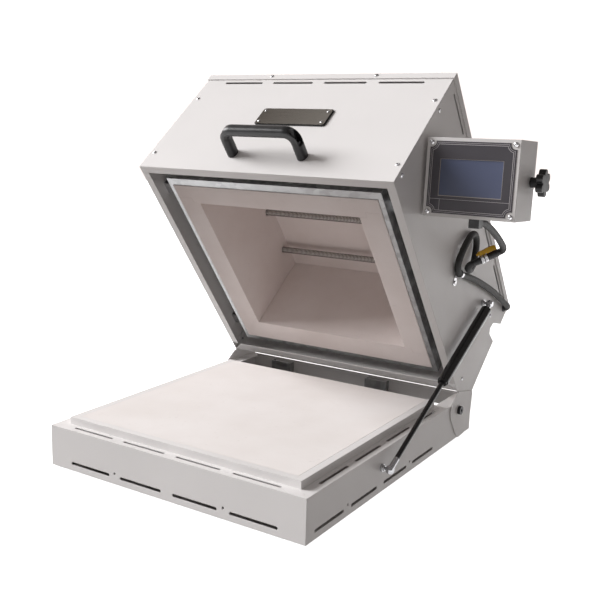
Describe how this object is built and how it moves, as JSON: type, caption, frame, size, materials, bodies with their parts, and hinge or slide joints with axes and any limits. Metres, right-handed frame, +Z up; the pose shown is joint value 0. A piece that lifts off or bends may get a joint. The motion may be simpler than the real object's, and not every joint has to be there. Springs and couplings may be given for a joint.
{
  "type": "bead annealing kiln",
  "caption": "Bench kiln whose fibre-lined lid opens on rear hinges over a flat hearth, held by a gas strut, with a tilting controller box on its side.",
  "frame": {"origin": "middle of the base footprint, on the underside of the floor plate; the rubber feet stand 2.5 mm below it", "axes": "+X to the right, +Y to the rear, +Z up, with the lid open"},
  "size_m": [0.6471, 0.7398, 0.6236],
  "materials": {
    "white_powder_coat": "White powder coat with a fine texture",
    "galvanised_sheet": "Galvanised steel with a faint spangle",
    "zinc_plate": "Bright zinc plating",
    "ceramic_fibre": "Rigid ceramic fibre board, faintly pink white",
    "hearth_fibre": "Rigid ceramic fibre board with faint marks of use",
    "ceramic_rod": "White fired ceramic",
    "heating_wire": "Oxidised resistance wire",
    "black_rubber": "Black rubber",
    "black_plastic": "Moulded black plastic",
    "braided_sleeve": "Black braided sleeve over a cable",
    "black_oxide": "Black oxide steel",
    "bronze": "Sintered bronze",
    "stainless_plate": "Fine brushed stainless steel",
    "black_paint": "Black paint",
    "label_film": "Dark grey film with a pale double border",
    "screen_glass": "Dark glass over a blue-grey display",
    "circuit_green": "Green circuit board",
    "terminal_plastic": "Cream terminal plastic",
    "yellow_plastic": "Yellow moulded plastic"
  },
  "bodies": {
    "base": {"base_front_panel": "white_powder_coat", "base_left_panel": "white_powder_coat", "base_right_panel": "white_powder_coat", "base_rear_panel": "white_powder_coat", "floor_plate": "galvanised_sheet", "feet": "black_rubber", "hearth_back_plate": "white_powder_coat", "hearth_board": "hearth_fibre", "hearth_insulation": "ceramic_fibre", "rear_posts": "galvanised_sheet", "hinge_bolts": "black_oxide", "strut_lower_stud": "zinc_plate"},
    "lid": {"lid_front_panel": "white_powder_coat", "lid_left_panel": "white_powder_coat", "lid_right_panel": "white_powder_coat", "lid_top_panel": "white_powder_coat", "lid_rear_panel": "white_powder_coat", "panel_screws": "zinc_plate", "hinge_bushes": "bronze", "handle": "black_plastic", "handle_screws": "black_oxide", "nameplate": "stainless_plate", "nameplate_backing": "black_paint", "nameplate_rivets": "zinc_plate", "casing": "galvanised_sheet", "fibre_front_wall": "ceramic_fibre", "fibre_rear_wall": "ceramic_fibre", "fibre_left_wall": "ceramic_fibre", "fibre_right_wall": "ceramic_fibre", "ceiling_board": "ceramic_fibre", "blanket": "ceramic_fibre", "front_heating_coil": "heating_wire", "middle_heating_coil": "heating_wire", "rear_heating_coil": "heating_wire", "ceramic_rods": "ceramic_rod", "thermocouple_probe": "zinc_plate", "casing_brackets": "zinc_plate", "relay_cover": "white_powder_coat", "relay": "black_plastic", "terminal_block": "terminal_plastic", "power_inlet": "black_plastic", "controller_lead": "braided_sleeve", "lead_gland": "black_plastic", "lead_clips": "zinc_plate", "lead_plug": "black_rubber", "coupling_rings": "zinc_plate", "thermocouple_connector": "yellow_plastic", "tilt_stud": "zinc_plate"},
    "strut_rod": {"strut_rod": "zinc_plate"},
    "strut_tube": {"strut_tube": "black_paint", "strut_upper_stud": "zinc_plate"},
    "controller": {"controller_box": "white_powder_coat", "controller_front": "white_powder_coat", "label_plate": "label_film", "touch_screen": "screen_glass", "circuit_board": "circuit_green", "cover_screws": "zinc_plate", "lead_hood": "black_plastic", "upper_lead": "braided_sleeve"},
    "star_knob": {"star_knob": "black_plastic"}
  },
  "joints": [
    {"name": "lid_hinge", "type": "hinge", "parent": "base", "child": "lid", "pos_m": [0, 0.2244, 0.0513], "axis": [1, 0, 0], "range_deg": [0, 52.5], "stiffness_Nm_per_rad": 15.3, "springref_deg": -89.95},
    {"name": "strut_pivot", "type": "hinge", "parent": "base", "child": "strut_rod", "pos_m": [0.25, -0.0688, 0.0392], "axis": [1, 0, 0], "range_deg": [0, 16]},
    {"name": "strut_slide", "type": "slide", "parent": "strut_rod", "child": "strut_tube", "axis": [0, 0.8947, 0.4467], "range_m": [-0.1456, 0]},
    {"name": "controller_tilt", "type": "hinge", "parent": "lid", "child": "controller", "pos_m": [0.312, 0.07524, 0.46335], "axis": [1, 0, 0], "range_deg": [-60, 15], "deforming": ["upper_lead"]},
    {"name": "knob_turn", "type": "hinge", "parent": "lid", "child": "star_knob", "pos_m": [0.39, 0.07524, 0.46335], "axis": [1, 0, 0], "range_deg": [0, 270]}
  ],
  "couplings": [
    {"joint": "strut_pivot", "follows": "lid_hinge", "ratio": 0.30341},
    {"joint": "strut_slide", "follows": "lid_hinge", "m_per_rad": -0.15869}
  ]
}
